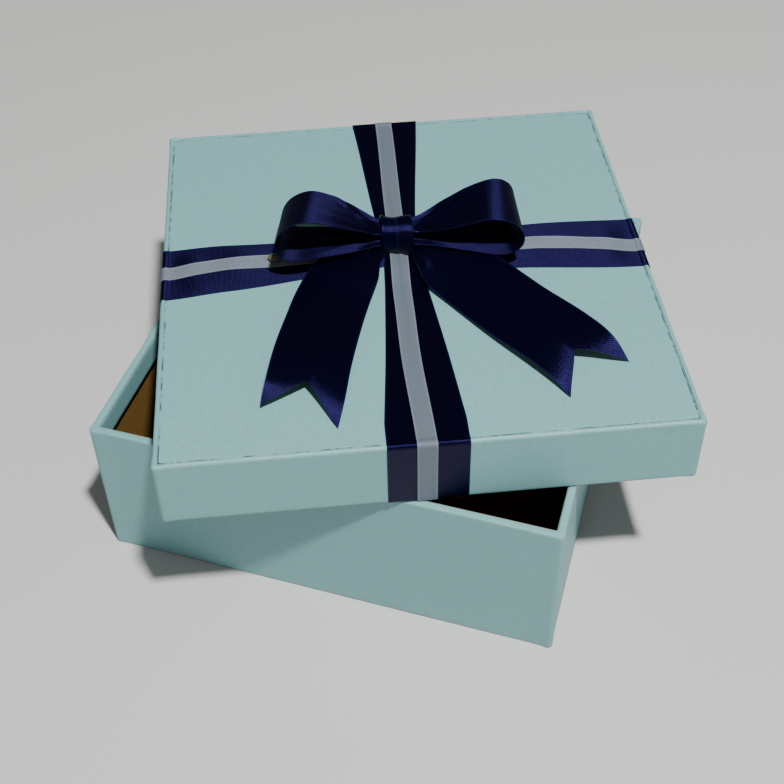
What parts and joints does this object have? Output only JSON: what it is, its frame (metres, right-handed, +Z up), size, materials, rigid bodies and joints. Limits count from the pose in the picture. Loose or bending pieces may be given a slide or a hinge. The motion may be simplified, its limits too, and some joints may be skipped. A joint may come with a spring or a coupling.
{
  "type": "gift box",
  "caption": "Square rigid paper-covered gift box with a lift-off lid lying askew on the rim, crossed satin ribbons and a bow.",
  "frame": {"origin": "centre of the tray's underside, on the surface that the box stands on", "axes": "+Z up, +X along the tray's front towards its right side, +Y from the tray's front towards its back; the lid lies turned 22.2 degrees about Z"},
  "size_m": [0.2148, 0.2148, 0.1114],
  "materials": {
    "aqua_paper": "matt pale aqua cover paper with a fine grain",
    "paper_tape": "gummed paper tape",
    "brown_board": "bare brown kraft board, fibres showing",
    "navy_satin": "very dark navy satin ribbon with a blue sheen",
    "pale_satin": "pale grey-blue satin ribbon",
    "hot_glue": "clear amber hot-melt glue"
  },
  "bodies": {
    "tray": {"base_corner_tape_back_left": "paper_tape", "base_corner_tape_back_right": "paper_tape", "base_corner_tape_front_left": "paper_tape", "base_corner_tape_front_right": "paper_tape", "base_floor_board": "brown_board", "base_wall_back": "brown_board", "base_wall_front": "brown_board", "base_wall_left": "brown_board", "base_wall_right": "brown_board", "base_wrap": "aqua_paper"},
    "bow_glue": {"glue_dot": "hot_glue"},
    "lid": {"bow_knot": "navy_satin", "bow_loops": "navy_satin", "bow_tails": "navy_satin", "glue_spot": "hot_glue", "lid_corner_tape_back_left": "paper_tape", "lid_corner_tape_back_right": "paper_tape", "lid_corner_tape_front_left": "paper_tape", "lid_corner_tape_front_right": "paper_tape", "lid_skirt_back": "brown_board", "lid_skirt_front": "brown_board", "lid_skirt_left": "brown_board", "lid_skirt_right": "brown_board", "lid_top_board": "brown_board", "lid_wrap": "aqua_paper", "ribbon_front_to_back": "navy_satin", "ribbon_side_to_side": "navy_satin", "stripe_front_to_back": "pale_satin", "stripe_side_to_side": "pale_satin"}
  },
  "joints": [
    {"name": "lid_lift", "type": "slide", "parent": "tray", "child": "bow_glue", "axis": [0, 0, 1], "range_m": [0, 0.1]},
    {"name": "lid_turn", "type": "hinge", "parent": "bow_glue", "child": "lid", "pos_m": [0.00206, 0.00497, 0.0861], "axis": [0, 0, 1], "range_deg": [-22, 67]}
  ]
}
